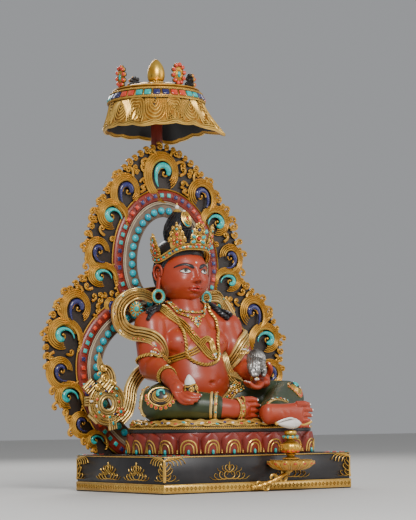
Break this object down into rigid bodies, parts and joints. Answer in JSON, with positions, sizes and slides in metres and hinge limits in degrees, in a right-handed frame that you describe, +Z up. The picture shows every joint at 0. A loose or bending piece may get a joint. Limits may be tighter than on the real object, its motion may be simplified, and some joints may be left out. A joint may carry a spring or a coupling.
{
  "type": "deity statue",
  "caption": "Seated wealth deity statue in painted and gilded metal on a lotus throne and oblong pedestal, with an openwork aureole behind and a canopy above.",
  "frame": {"origin": "centre of the pedestal's underside", "axes": "+Z up, the figure faces -Y, +X is the viewer's right"},
  "size_m": [0.3444, 0.3164, 0.517],
  "materials": {
    "black_lacquer": "satin black paint",
    "gilding": "fire-gilded metal, dark in the recesses",
    "petal_red": "satin dark red paint",
    "painted_skin": "satin terracotta red paint",
    "trouser_green": "satin dark green paint",
    "hair_black": "satin black paint",
    "turquoise": "polished turquoise",
    "lapis": "polished lapis lazuli",
    "coral": "polished coral",
    "silvered_fur": "silver-grey metallic paint",
    "shell_white": "white paint"
  },
  "bodies": {
    "root": {"pedestal": "black_lacquer", "lotus_throne": "petal_red", "figure": "painted_skin", "crown": "gilding", "topknot_jewel": "gilding", "earring_right": "turquoise", "earring_left": "turquoise", "upper_scarf_right": "gilding", "upper_scarf_left": "gilding", "lower_scarf_right": "gilding", "lower_scarf_left": "gilding", "citron_jewel": "shell_white", "mongoose": "silvered_fur", "conch": "shell_white", "treasure_vase": "gilding", "lotus_bracket": "gilding", "aureole": "gilding", "canopy_post": "petal_red", "canopy": "gilding", "canopy_finial": "gilding", "canopy_ornament_1": "gilding", "canopy_ornament_2": "gilding", "canopy_ornament_3": "gilding", "canopy_ornament_4": "gilding"}
  },
  "joints": []
}
